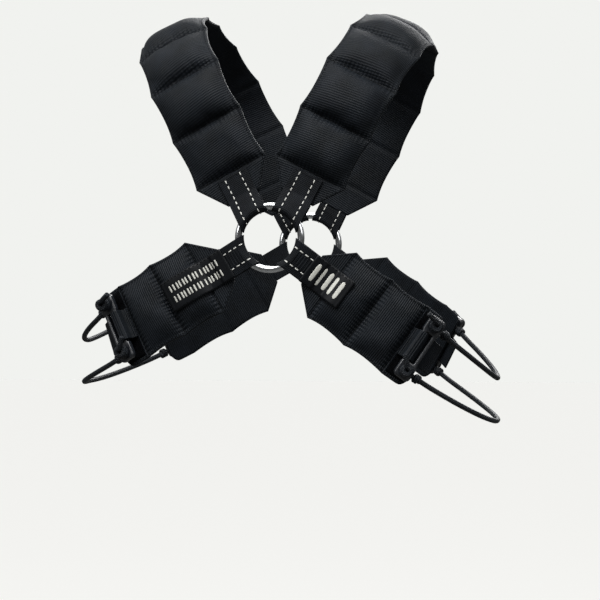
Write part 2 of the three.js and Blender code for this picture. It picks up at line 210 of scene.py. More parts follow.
# A closed cloth of two grids with the same rows and columns, sewn together round the edge.
def twoFacedMesh(name, outer, inner, uv):
    rows, columns = outer.shape[:2]
    count = rows * columns
    faces = gridFaces(rows, columns) + gridFaces(rows, columns, count, True)
    rim = [(i, 0) for i in range(rows)] + [(rows - 1, j) for j in range(1, columns)]
    rim += [(i, columns - 1) for i in range(rows - 2, -1, -1)] + [(0, j) for j in range(columns - 2, 0, -1)]
    for (i, j), (nextI, nextJ) in zip(rim, rim[1:] + rim[:1]):
        a, b = i * columns + j, nextI * columns + nextJ
        faces.append([a, a + count, b + count, b])
    points = np.concatenate([outer.reshape(-1, 3), inner.reshape(-1, 3)])
    coords = np.concatenate([uv.reshape(-1, 2), uv.reshape(-1, 2)])
    return meshFrom(name, points, faces, coords)


def finished(piece, material, slotName, *nodes):
    piece.data.materials.clear()
    piece.data.materials.append(material)
    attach(piece, "root")
    if nodes:
        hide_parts(*nodes)
    return piece


def between(low, high, t):
    return low + (high - low) * t


def smoothStep(t):
    t = np.clip(t, 0, 1)
    return t * t * (3 - 2 * t)


# Materials. A setting of a node names a socket or a property, and a link names the socket that it feeds.
def addNode(tree, kind, settings=None, links=None):
    node = tree.nodes.new(kind)
    for name, value in (settings or {}).items():
        if isinstance(name, int) or name in node.inputs:
            node.inputs[name].default_value = value
        else:
            setattr(node, name, value)
    for name, source in (links or {}).items():
        tree.links.new(source, node.inputs[name])
    return node


def linear(hexColour):
    parts = [int(hexColour[i:i + 2], 16) / 255 for i in (1, 3, 5)]
    return [c / 12.92 if c <= 0.04045 else ((c + 0.055) / 1.055) ** 2.4 for c in parts] + [1]


# A wave between 0 and 1 that repeats at a pitch in millimetres along an axis of the cloth's own coordinates.
def threads(tree, axis, pitch):
    turn = addNode(tree, "ShaderNodeMath", {"operation": "MULTIPLY", 1: 2 * math.pi / pitch}, {0: axis})
    wave = addNode(tree, "ShaderNodeMath", {"operation": "COSINE"}, {0: turn.outputs[0]})
    return addNode(tree, "ShaderNodeMath", {"operation": "MULTIPLY_ADD", 1: 0.5, 2: 0.5},
                   {0: wave.outputs[0]}).outputs[0]


def startMaterial(name):
    material = bpy.data.materials.new(name)
    material.use_nodes = True
    return material, material.node_tree, material.node_tree.nodes["Principled BSDF"]


def noise(tree, scale, detail, roughness=0.5):
    place = addNode(tree, "ShaderNodeTexCoord")
    return addNode(tree, "ShaderNodeTexNoise", {"Scale": scale, "Detail": detail, "Roughness": roughness},
                   {"Vector": place.outputs["Object"]}).outputs[0]


# Colour goes from deep to lit by tone, roughness follows the grain, and the bump follows the height.
def dressShader(tree, shader, look, tone, stops, grain, roughness, height, depth):
    colour = addNode(tree, "ShaderNodeValToRGB", {}, {0: tone})
    for element, stop, key in zip(colour.color_ramp.elements, stops, ("deep", "lit")):
        element.position = stop
        element.color = linear(look[key])
    rough = addNode(tree, "ShaderNodeMapRange", {3: roughness[0], 4: roughness[1]}, {0: grain})
    bump = addNode(tree, "ShaderNodeBump", {"Strength": look["bump"], "Distance": depth * mm},
                   {"Height": height})
    for socket, node in (("Base Color", colour), ("Roughness", rough), ("Normal", bump)):
        tree.links.new(node.outputs[0], shader.inputs[socket])


# Woven cloth: threads along and across the strap, a fuzz of noise, paler worn threads, painted shade in the
# hollows between the threads with painted light on their crests, and the weave's bump.
weave = {"stops": (0.35, 0.95), "spread": 0.08, "sheenRoughness": 0.45}


def wovenMaterial(name, look):
    material, tree, shader = startMaterial(name)
    coords = addNode(tree, "ShaderNodeUVMap", {"uv_map": "cloth"})
    axes = addNode(tree, "ShaderNodeSeparateXYZ", {}, {0: coords.outputs["UV"]})
    skew = addNode(tree, "ShaderNodeMath", {"operation": "MULTIPLY_ADD", 1: look["skew"]},
                   {0: axes.outputs["X"], 2: axes.outputs["Y"]})
    weft = threads(tree, skew.outputs[0], look["weft"])
    warp = threads(tree, axes.outputs["X"], look["warp"])
    crossing = addNode(tree, "ShaderNodeMath", {"operation": "MULTIPLY"}, {0: weft, 1: warp})
    height = addNode(tree, "ShaderNodeMix", {"data_type": "FLOAT", 0: look["crossing"]},
                     {2: weft, 3: crossing.outputs[0]}).outputs[0]
    fuzz = noise(tree, look["fuzz"], 4.0, 0.65)
    patches = noise(tree, look["patches"], 3.0)
    # painted shade and light: the colour is darker in the hollows of the weave and paler on its crests, with
    # paler patches at random
    shade = addNode(tree, "ShaderNodeMath", {"operation": "MULTIPLY_ADD", 1: look["threadShade"]},
                    {0: height, 2: patches}).outputs[0]
    relief = addNode(tree, "ShaderNodeMath", {"operation": "MULTIPLY_ADD", 1: look["fuzzDepth"]},
                     {0: fuzz, 2: height}).outputs[0]
    roughness = (look["roughness"] - weave["spread"], look["roughness"] + weave["spread"])
    dressShader(tree, shader, look, shade, weave["stops"], fuzz, roughness, relief, look["depth"])
    for socket, key in (("IOR", "ior"), ("Specular IOR Level", "gloss"), ("Sheen Weight", "sheen")):
        shader.inputs[socket].default_value = look[key]
    shader.inputs["Sheen Roughness"].default_value = weave["sheenRoughness"]
    shader.inputs["Sheen Tint"].default_value = linear(look["sheenTint"])
    return material


clothLooks = {
    # Nylon pack cloth: coarse matt weave whose cross threads catch the light
    "packCloth": {"deep": "#030507", "lit": "#0d1116", "roughness": 0.6, "ior": 1.53, "sheen": 0.03,
                  "gloss": 0.09, "sheenTint": "#8d979f", "weft": 1.7, "warp": 1.15, "skew": 0.12,
                  "crossing": 0.55, "bump": 0.85, "depth": 0.35, "fuzz": 900, "fuzzDepth": 0.35,
                  "patches": 60, "threadShade": 0.45},
    # Grosgrain nylon: close ribs across the strap, with a little painted highlight on their crests
    "grosgrain": {"deep": "#030507", "lit": "#0e1217", "roughness": 0.58, "ior": 1.53, "sheen": 0.03,
                  "gloss": 0.09, "sheenTint": "#8d979f", "weft": 1.65, "warp": 0.9, "skew": 0.0,
                  "crossing": 0.15, "bump": 0.9, "depth": 0.4, "fuzz": 900, "fuzzDepth": 0.25,
                  "patches": 70, "threadShade": 0.5},
    # Flat woven webbing: tight and nearly smooth, with the faint grain of its warp
    "webbing": {"deep": "#030406", "lit": "#0e1115", "roughness": 0.66, "ior": 1.53, "sheen": 0.02,
                "gloss": 0.08, "sheenTint": "#7f8890", "weft": 1.3, "warp": 1.5, "skew": 0.0,
                "crossing": 0.5, "bump": 0.7, "depth": 0.25, "fuzz": 1000, "fuzzDepth": 0.4,
                "patches": 90, "threadShade": 0.4},
    # Dull, deep black cloth: very rough and matt, with a coarse fuzz in its bump
    "dullBlackCloth": {"deep": "#020203", "lit": "#090a0c", "roughness": 0.95, "ior": 1.45, "sheen": 0.01,
             "gloss": 0.03, "sheenTint": "#5a6268", "weft": 1.2, "warp": 1.2, "skew": 0.5, "crossing": 0.9,
             "bump": 1.0, "depth": 0.5, "fuzz": 1500, "fuzzDepth": 1.5, "patches": 120, "threadShade": 0.2},
    # Black polyester satin: smooth, with a soft long highlight
    "satin": {"deep": "#030406", "lit": "#0a0c0f", "roughness": 0.45, "ior": 1.55, "sheen": 0.01,
              "gloss": 0.1, "sheenTint": "#9098a0", "weft": 0.8, "warp": 0.8, "skew": 1.0, "crossing": 0.2,
              "bump": 0.15, "depth": 0.08, "fuzz": 700, "fuzzDepth": 0.2, "patches": 40, "threadShade": 0.3},
    # Braided polyester over elastic: strands wind both ways round the cord
    "braid": {"deep": "#040608", "lit": "#181c21", "roughness": 0.55, "ior": 1.53, "sheen": 0.02,
              "gloss": 0.14, "sheenTint": "#8d979f", "weft": 1.5, "warp": 1.65, "skew": 0.8, "crossing": 0.8,
              "bump": 1.0, "depth": 0.5, "fuzz": 1200, "fuzzDepth": 0.3, "patches": 120, "threadShade": 0.5},
}


# Plain thread, plastic and steel: one colour broken up by a fine noise in colour, roughness and bump.
speckle = {"stops": (0.3, 0.75), "depth": 0.1}


def plainMaterial(name, look):
    material, tree, shader = startMaterial(name)
    grain = noise(tree, look["grain"], 5.0)
    dressShader(tree, shader, look, grain, speckle["stops"], grain, look["roughness"], grain,
                speckle["depth"])
    for socket, key in (("Metallic", "metallic"), ("Coat Weight", "coat"), ("Specular IOR Level", "gloss")):
        shader.inputs[socket].default_value = look[key]
    if not look["metallic"]:
        shader.inputs["IOR"].default_value = look["ior"]
    return material


plainLooks = {
    # Polished stainless steel: mirror bright, with the faintest brushing
    "stainlessSteel": {"deep": "#b4b7b9", "lit": "#cfd1d3", "roughness": (0.08, 0.17), "ior": 1.5,
                       "bump": 0.03, "metallic": 1.0, "coat": 0.0, "grain": 400, "gloss": 0.5},
    # Moulded acetal: black, satin, with soft broad highlights
    "acetal": {"deep": "#090b0e", "lit": "#171a1f", "roughness": (0.26, 0.4), "ior": 1.48, "bump": 0.2,
               "metallic": 0.0, "coat": 0.1, "grain": 700, "gloss": 0.5},
    # Black bonded nylon thread: slightly waxy
    "blackThread": {"deep": "#020304", "lit": "#080a0c", "roughness": (0.6, 0.8), "ior": 1.53, "bump": 0.6,
                    "metallic": 0.0, "coat": 0.0, "grain": 2500, "gloss": 0.06},
    # Reflective yarn: pale grey, looking nearly white in the light
    "reflectiveYarn": {"deep": "#8f908b", "lit": "#b9b9b3", "roughness": (0.4, 0.6), "ior": 1.6, "bump": 0.5,
                       "metallic": 0.0, "coat": 0.1, "grain": 2500, "gloss": 0.4},
    # Pale polyester weft that marks the satin
    "markYarn": {"deep": "#8c8c86", "lit": "#adada6", "roughness": (0.5, 0.7), "ior": 1.55, "bump": 0.6,
                 "metallic": 0.0, "coat": 0.0, "grain": 2500, "gloss": 0.3},
}
finishes = {name: wovenMaterial(name, look) for name, look in clothLooks.items()}
finishes.update({name: plainMaterial(name, look) for name, look in plainLooks.items()})
print("materials made")


# Pads. Each shell is a flat sheet whose chambers are blown up by cloth simulation, then laid on its track.
filling = {"pressure": 9.0, "slack": 0.035, "frames": 20, "cap": 1.3, "start": 0.9, "easing": 5,
           "evenness": 0.55, "endRoundness": 0.6, "crown": 3.5, "hems": 1.2, "unevenness": 0.12, "drift": 0.8}
sheetCloth = {"quality": 6, "mass": 0.2, "tension_stiffness": 20, "compression_stiffness": 20,
              "shear_stiffness": 8, "bending_stiffness": 0.3, "use_pressure": True}
puckers = {"pitch": 3.0, "depth": 1.25, "reach": 3.8, "wander": 0.8, "share": 0.93}
shell = {"sag": 1.9, "groove": 1.2, "grooveReach": 1.1, "grooveShare": 0.97, "seamLift": 1.1,
         "seamReach": 2.2, "sideLift": 0.7, "sideShare": 0.05, "sideDrop": 0.9, "firstDrop": 0.7,
         "lastDrop": 0.5, "flapStart": 0.6, "flapSlope": 1.2}
padSeeds = {"shoulder": {"left": 3, "right": 8}, "back": {"left": 40, "right": 45},
            "chest": {"left": 45, "right": 50}}
outward = {"left": -1, "right": 1}
shoulderTracks = {side: shoulderTrack(sign) for side, sign in outward.items()}
flankTracks = {side: flankTrack(sign, drops[side]) for side, sign in outward.items()}
for pad in (shoulderPad, flankPad):
    pad["first"] = pad["start"] + pad["taper"]
shoulderPad["pitch"] = (shoulderTracks["left"].length - 2 * shoulderPad["first"]) / shoulderPad["chambers"]
for pad in (shoulderPad, flankPad):
    pad["last"] = pad["first"] + pad["pitch"] * pad["chambers"]
shoulderPad["end"] = shoulderPad["last"] + shoulderPad["taper"]
flankPad["end"] = flankPad["last"] + flankPad["flap"]


# A strap's track from the back ring, or the same line run from the chest ring.
def trackFrom(face, track):
    return track if face == "back" else track.fromChest()


# The way across a flank's track that points up.
def upward(face, side):
    return outward[side] if face == "back" else -outward[side]


padEdge = {"neck": 1.5, "roundness": 0.8}


def padHalfWidth(pad, s):
    narrow, full = webbing["width"] / 2 + padEdge["neck"], pad["width"] / 2
    phase = ((s - pad["first"]) / pad["pitch"]) % 1
    half = full - pad["scallop"] * np.abs(np.sin(np.pi * phase)) ** padEdge["roundness"]
    half = np.where(s < pad["first"], between(narrow, full, (s - pad["start"]) / pad["taper"]), half)
    if "flap" in pad:
        into = np.clip(s - (pad["end"] - pad["flapCorner"]), 0, pad["flapCorner"])
        end = full - pad["flapCorner"] + np.sqrt(pad["flapCorner"] ** 2 - into ** 2)
    else:
        end = between(full, narrow, (s - pad["last"]) / pad["taper"])
    return np.where(s > pad["last"], end, half)


# Stations along a pad: even steps in each chamber, so that a row of points lies on each seam.
def padStations(pad):
    perChamber = round(pad["pitch"] / pad["step"])
    lead = np.linspace(pad["start"], pad["first"], round(pad["taper"] / pad["step"]) + 1)
    filled = np.linspace(pad["first"], pad["last"], perChamber * pad["chambers"] + 1)
    tail = np.linspace(pad["last"], pad["end"], round((pad["end"] - pad["last"]) / pad["step"]) + 1)
    return np.concatenate([lead, filled[1:], tail[1:]])


def blownSheet(name, pad, seed):
    s = padStations(pad)
    columns = 2 * round(pad["width"] / pad["step"] / 2) + 1
    u = np.linspace(-1, 1, columns)
    half = padHalfWidth(pad, s)
    b = half[:, None] * u[None, :]
    phase = (s - pad["first"]) / pad["pitch"]
    inside = (phase > 0.001) & (phase < pad["chambers"] - 0.001)
    swell = np.where(inside, np.abs(np.sin(np.pi * phase)) ** filling["endRoundness"], 0)
    edge = np.clip(np.abs(b) / (half[:, None] - filling["hems"] * pad["hem"]), 0, 1)
    dome = swell[:, None] * (1 - edge ** filling["crown"])
    flat = np.stack([b, np.broadcast_to(s[:, None], b.shape), filling["start"] * pad["bulge"] * dome], axis=2)
    flat[:, :, 2] += np.random.default_rng(seed).normal(0, filling["unevenness"], b.shape) * dome
    sheet = meshFrom(name, flat, gridFaces(len(s), columns))
    onSeam = np.abs(phase - np.round(phase)) < 0.02
    held = (~inside | onSeam)[:, None] | (edge >= 1)
    sewn = sheet.vertex_groups.new(name="sewn")
    sewn.add(np.flatnonzero(held.ravel()).tolist(), 1.0, "REPLACE")
    cloth = sheet.modifiers.new("filling", "CLOTH")
    for key, value in sheetCloth.items():
        setattr(cloth.settings, key, value)
    cloth.settings.vertex_group_mass = "sewn"
    cloth.settings.shrink_min = -filling["slack"]
    cloth.settings.uniform_pressure_force = filling["pressure"]
    cloth.settings.effector_weights.gravity = 0
    cloth.collision_settings.use_collision = False
    cloth.point_cache.frame_start, cloth.point_cache.frame_end = 1, filling["frames"]
    for number in range(1, filling["frames"] + 1):
        scene.frame_set(number)
    settled = sheet.evaluated_get(bpy.context.evaluated_depsgraph_get())
    co = np.empty(len(settled.data.vertices) * 3)
    settled.data.vertices.foreach_get("co", co)
    scene.frame_set(1)
    bpy.data.objects.remove(sheet)
    blown = co.reshape(flat.shape) / mm
    tall = pad["bulge"] * filling["cap"]
    high = np.maximum(blown[:, :, 2], 0)
    print(name, "swelled to", round(float(high.max()), 1), "mm")
    high = tall * np.tanh(high / tall)
    # the shot inside rounds off the sharpest creases and fills each chamber evenly
    for _ in range(filling["easing"]):
        eased = high.copy()
        eased[1:-1, 1:-1] = (2 * high[1:-1, 1:-1] + high[:-2, 1:-1] + high[2:, 1:-1] + high[1:-1, :-2]
                             + high[1:-1, 2:]) / 6
        high = np.where(held, 0, eased)
    blown[:, :, 2] = between(high, pad["bulge"] * dome, filling["evenness"])
    for axis in (0, 1):
        moved = blown[:, :, axis] - flat[:, :, axis]
        blown[:, :, axis] = flat[:, :, axis] + np.clip(moved, -filling["drift"], filling["drift"])
    return s, blown


# One halving of a grid's steps along an axis by the cubic spline rule. Sharp rows stay where they are.
def refined(grid, axis, sharp=()):
    g = np.moveaxis(grid, axis, 0)
    corner = g.copy()
    corner[1:-1] = g[:-2] / 8 + g[1:-1] * 0.75 + g[2:] / 8
    for i in sharp:
        corner[i] = g[i]
    fine = np.empty((2 * len(g) - 1,) + g.shape[1:])
    fine[0::2] = corner
    fine[1::2] = (g[:-1] + g[1:]) / 2
    return np.moveaxis(fine, 0, axis)


padSurface = {}


def makePad(name, pad, track, seed):
    s, blown = blownSheet(name + "_sheet", pad, seed)
    phase = (s - pad["first"]) / pad["pitch"]
    onSeam = (np.abs(phase - np.round(phase)) < 0.02) & (phase > -0.1) & (phase < pad["chambers"] + 0.1)
    seams = np.flatnonzero(onSeam)
    fine = refined(refined(refined(blown, 0, seams), 1), 1)
    b, run, height = fine[:, :, 0], fine[:, :, 1], fine[:, :, 2]
    rowRun = refined(s, 0, seams)
    fineU = np.linspace(-1, 1, fine.shape[1])
    where = (rowRun - pad["first"]) / pad["pitch"]
    nearSeam = np.abs(where - np.clip(np.round(where), 0, pad["chambers"])) * pad["pitch"]
    # the cloth puckers where it meets a seam, in folds nearly evenly spaced across the strap
    rng = np.random.default_rng(seed)
    wander = rng.normal(0, puckers["wander"], 17)
    wander = np.interp(fineU * pad["width"] / 2, np.linspace(-40, 40, 17), wander)
    folds = 0.5 + 0.5 * np.cos(2 * np.pi * (b + wander[None, :]) / puckers["pitch"])
    reach = np.exp(-(nearSeam / puckers["reach"]) ** 2)[:, None]
    puckered = (np.abs(fineU) < puckers["share"])[None, :] & (height > 0.05)
    height = height - puckers["depth"] * folds * reach * puckered
    # the filling lies towards the nearer ring in each chamber: downwards in a shoulder pad
    middle = (pad["first"] + pad["last"]) / 2
    towards = -1 if "flap" in pad else np.where(run < middle, -1, 1)
    inChamber = (where > 0) & (where < pad["chambers"])
    run = run + towards * shell["sag"] * (np.sin(np.pi * where) ** 2 * inChamber)[:, None]
    top = innerFace + pad["seamThick"] + height
    beforeFlap = where < pad["chambers"] + 0.01
    sewn = beforeFlap & (where > -0.01)
    groove = shell["groove"] * np.exp(-(nearSeam / shell["grooveReach"]) ** 2) * sewn
    top = top - groove[:, None] * (np.abs(fineU) < shell["grooveShare"])[None, :]
    if "flap" in pad:
        thin = smoothStep((rowRun - pad["last"] - shell["flapStart"]) / shell["flapSlope"])
        top = top + (innerFace + pad["flapThick"] - top) * thin[:, None]
    seamLift = shell["seamLift"] * np.exp(-(nearSeam / shell["seamReach"]) ** 2) * beforeFlap
    sideLift = shell["sideLift"] * (1 - np.clip((1 - np.abs(fineU)) / shell["sideShare"], 0, 1))
    bottom = innerFace + seamLift[:, None] + sideLift[None, :]
    top[:, np.abs(fineU) > 0.999] -= shell["sideDrop"]
    top[0] -= shell["firstDrop"]
    top[-1] -= shell["lastDrop"]
    padSurface[name] = (rowRun, fineU, top)
    outer, inner = track.place(run, b, top), track.place(run, b, bottom)
    return twoFacedMesh(name, outer, inner, np.stack([b, run], axis=2))


for side in outward:
    piece = makePad(f"shoulderPadShell_{side}", shoulderPad, shoulderTracks[side], padSeeds["shoulder"][side])
    finished(piece, finishes["packCloth"], "padding", f"shoulder_pad_{side}")
    for face in ("back", "chest"):
        track = trackFrom(face, flankTracks[side])
        piece = makePad(f"flankPadShell_{face}_{side}", flankPad, track, padSeeds[face][side])
        finished(piece, finishes["grosgrain"], "padding", f"flank_pad_{face}_{side}")
print("pads filled")


# Rings: polished steel wire, welded into a circle.
def makeRing(name, y):
    around, section = 160, 24
    radius, wire = (ring["outer"] - ring["wire"]) / 2, ring["wire"] / 2
    t = np.arange(around) * 2 * np.pi / around
    v = np.arange(section) * 2 * np.pi / section
    reach = radius + wire * np.cos(v)[None, :]
    x = reach * np.sin(t)[:, None]
    z = -ring["depth"] + reach * np.cos(t)[:, None]
    points = np.stack([x, np.broadcast_to(y - wire * np.sin(v), x.shape), z], axis=2)
    faces = []
    for i in range(around):
        for j in range(section):
            k, m = (i + 1) % around, (j + 1) % section
            faces.append([i * section + j, i * section + m, k * section + m, k * section + j])
    finished(meshFrom(f"{name}Wire", points, faces), finishes["stainlessSteel"], "ring", f"{name}_ring")


makeRing("back", -body["backDepth"] - ring["lift"])
makeRing("chest", body["chestDepth"] + ring["lift"])


# Stitches, by Geometry Nodes: a rounded bar of thread on every point, turned along its seam.
def makeStitchTree():
    tree = bpy.data.node_groups.new("stitchesOnPoints", "GeometryNodeTree")
    face = tree.interface
    face.new_socket(name="Points", in_out="INPUT", socket_type="NodeSocketGeometry")
    for label, value in (("Stitch Length", 0.003), ("Stitch Width", 0.001), ("Stitch Height", 0.0006)):
        socket = face.new_socket(name=label, in_out="INPUT", socket_type="NodeSocketFloat")
        socket.default_value = value
    face.new_socket(name="Thread", in_out="INPUT", socket_type="NodeSocketMaterial")
    face.new_socket(name="Stitches", in_out="OUTPUT", socket_type="NodeSocketGeometry")
    given = addNode(tree, "NodeGroupInput")
    size = addNode(tree, "ShaderNodeCombineXYZ", {}, {0: given.outputs["Stitch Length"],
                                                      1: given.outputs["Stitch Width"],
                                                      2: given.outputs["Stitch Height"]})
    block = addNode(tree, "GeometryNodeMeshCube", {"Vertices X": 4}, {"Size": size.outputs[0]})
    rounded = addNode(tree, "GeometryNodeSubdivisionSurface", {"Level": 1}, {0: block.outputs[0]})
    along = addNode(tree, "GeometryNodeInputNamedAttribute", {"data_type": "FLOAT_VECTOR", "Name": "along"})
    out = addNode(tree, "GeometryNodeInputNamedAttribute", {"data_type": "FLOAT_VECTOR", "Name": "out"})
    turned = addNode(tree, "FunctionNodeAlignRotationToVector", {"axis": "X"}, {"Vector": along.outputs[0]})
    upright = addNode(tree, "FunctionNodeAlignRotationToVector", {"axis": "Z", "pivot_axis": "X"},
                      {"Rotation": turned.outputs[0], "Vector": out.outputs[0]})
    placed = addNode(tree, "GeometryNodeInstanceOnPoints", {},
                     {"Points": given.outputs["Points"], "Instance": rounded.outputs[0],
                      "Rotation": upright.outputs[0]})
    real = addNode(tree, "GeometryNodeRealizeInstances", {}, {0: placed.outputs[0]})
    smooth = addNode(tree, "GeometryNodeSetShadeSmooth", {}, {0: real.outputs[0]})
    dressed = addNode(tree, "GeometryNodeSetMaterial", {},
                      {"Geometry": smooth.outputs[0], "Material": given.outputs["Thread"]})
    addNode(tree, "NodeGroupOutput", {}, {0: dressed.outputs[0]})
    return tree


stitchTree = makeStitchTree()


# rows is a list of (points, along, out) in millimetres; look gives the size of one stitch and its thread.
def sew(name, rows, look, slotName):
    points, along, out = (np.concatenate([np.reshape(row[k], (-1, 3)) for row in rows]) for k in range(3))
    base = meshFrom(name + "_points", points, [])
    for label, values in (("along", along), ("out", out)):
        layer = base.data.attributes.new(label, "FLOAT_VECTOR", "POINT")
        layer.data.foreach_set("vector", np.asarray(values, np.float32).ravel())
    modifier = base.modifiers.new("stitches", "NODES")
    modifier.node_group = stitchTree
    sockets = {item.name: item.identifier for item in stitchTree.interface.items_tree}
    for label, key in (("Stitch Length", "length"), ("Stitch Width", "width"), ("Stitch Height", "height")):
        modifier[sockets[label]] = look[key] * mm
    modifier[sockets["Thread"]] = finishes[look["thread"]]
    grown = base.evaluated_get(bpy.context.evaluated_depsgraph_get())
    mesh = bpy.data.meshes.new_from_object(grown)
    base.modifiers.clear()
    bpy.data.objects.remove(base)
    return finished(linked(name, mesh), finishes[look["thread"]], slotName)


stitchLooks = {
    "seam": {"length": 2.3, "width": 0.8, "height": 0.7, "pitch": 1.7, "slant": 38, "thread": "blackThread"},
    "hem": {"length": 2.2, "width": 0.6, "height": 0.35, "pitch": 3.2, "slant": 0, "thread": "blackThread"},
    "shoulderDash": {"length": 3.0, "width": 1.05, "height": 0.8, "pitch": 4.7, "slant": 0,
                     "thread": "reflectiveYarn"},
    "flankDash": {"length": 3.4, "width": 1.05, "height": 0.8, "pitch": 5.0, "slant": 0,
                  "thread": "reflectiveYarn"},
}
stitchInset = {"seamEnd": 2.4, "hem": 1.9, "hemEnd": 2, "lift": 0.1}


# The surface of a pad, read by run and distance across.
def onPad(name, s, b):
    rowRun, fineU, top = padSurface[name]
    s, b = np.broadcast_arrays(np.asarray(s, float), b)
    i = np.clip(np.searchsorted(rowRun, s) - 1, 0, len(rowRun) - 2)
    f = np.clip((s - rowRun[i]) / (rowRun[i + 1] - rowRun[i]), 0, 1)
    pad = shoulderPad if name.startswith("shoulder") else flankPad
    u = np.clip(b / padHalfWidth(pad, s), -0.999, 0.999)
    x = (u + 1) / 2 * (len(fineU) - 1)
    j = np.clip(x.astype(int), 0, len(fineU) - 2)
    g = x - j
    corner = [[top[i, j], top[i, j + 1]], [top[i + 1, j], top[i + 1, j + 1]]]
    return between(between(corner[0][0], corner[0][1], g), between(corner[1][0], corner[1][1], g), f)


# A row of stitches on a pad through points (s, b), slanted to and fro where the look says.
def padRow(name, track, s, b, look):
    points = track.place(s, b, onPad(name, s, b) + stitchInset["lift"])
    out = track.at(s)[2]
    along = unit(np.gradient(points, axis=0))
    slant = math.radians(look["slant"]) * (1 - 2 * (np.arange(len(points)) % 2))
    aside = np.cross(out, along)
    return points, along * np.cos(slant)[:, None] + aside * np.sin(slant)[:, None], out


def padStitches(name, pad, track):
    seam, hem = stitchLooks["seam"], stitchLooks["hem"]
    seamRows, hemRows = [], []
    for number in range(pad["chambers"] + 1):
        reach = pad["width"] / 2 - stitchInset["seamEnd"]
        b = np.arange(-reach, reach, seam["pitch"])
        s = np.full_like(b, pad["first"] + pad["pitch"] * number)
        seamRows.append(padRow(name, track, s, b, seam))
    for edge in (-1, 1):
        s = np.arange(pad["start"] + stitchInset["hemEnd"], pad["end"] - stitchInset["hemEnd"], hem["pitch"])
        hemRows.append(padRow(name, track, s, edge * (padHalfWidth(pad, s) - stitchInset["hem"]), hem))
    sew(name.replace("Shell", "Seams"), seamRows, seam, "padding")
    sew(name.replace("Shell", "Hems"), hemRows, hem, "padding")


for side in outward:
    padStitches(f"shoulderPadShell_{side}", shoulderPad, shoulderTracks[side])
    for face in ("back", "chest"):
        padStitches(f"flankPadShell_{face}_{side}", flankPad, trackFrom(face, flankTracks[side]))
print("pads stitched")


# A line of (run, height) points, evenly spread and with its corners rounded off.
def smoothLine(line, step, passes):
    line = np.asarray(line, float)
    count = int(lengthsAlong(line)[-1] / step) + 2
    return relaxed(evenLine(line, count), passes)


def lineNormals(line):
    d = unit(np.gradient(line, axis=0))
    return np.stack([-d[..., 1], d[..., 0]], axis=-1)


stripEdge = 0.22


# A strip of webbing laid on a track. lines is columns by rows by (run, height), the same or different for
# each column. The strip's edges are rounded, and its outer face may carry a relief.
def stripMesh(name, track, across, lines, thick, relief=None):
    rows, columns = lines.shape[1], lines.shape[0]
    normals = np.stack([lineNormals(line) for line in lines])
    half = np.full(columns, thick / 2)
    half[0] = half[-1] = thick * stripEdge
    rise = np.zeros((columns, rows)) if relief is None else relief
    faces = []
    for sign in (1, -1):
        shift = sign * half[:, None] + (rise if sign > 0 else 0)
        s = lines[:, :, 0] + normals[:, :, 0] * shift
        n = lines[:, :, 1] + normals[:, :, 1] * shift
        faces.append(np.swapaxes(track.place(s, across[:, None], n), 0, 1))
    run = lengthsAlong(lines[columns // 2])
    uv = np.stack(np.broadcast_arrays(across[None, :], run[:, None]), axis=2)
    return twoFacedMesh(name, faces[0], faces[1], uv), faces[0]


acrossShares = np.concatenate([[-1, -0.985], np.linspace(-0.95, 0.95, 19), [0.985, 1]])
acrossWebbing = acrossShares * webbing["width"] / 2
loopLooks = {"shoulder": {"end": 58, "rows": 6.6, "ribs": 0.0},
             "flank": {"end": 46, "rows": 7.2, "ribs": 0.38}}
loopFold = {"clear": 3, "tuck": 0.8, "tuckRise": 0.4, "firstTurn": 0.2, "turns": 16, "fall": 0.72}
loopRibs = {"pitch": 2.3, "margin": 1.1, "first": 23, "last": 41}
loopDashes = {"crest": 0.9, "before": 1.5, "end": 2.2, "flankReach": 15, "lift": 0.12}
loopHem = {"reach": 9.5, "pitch": 2.6, "inset": 2.0, "lift": 0.1}
loopTop = {}


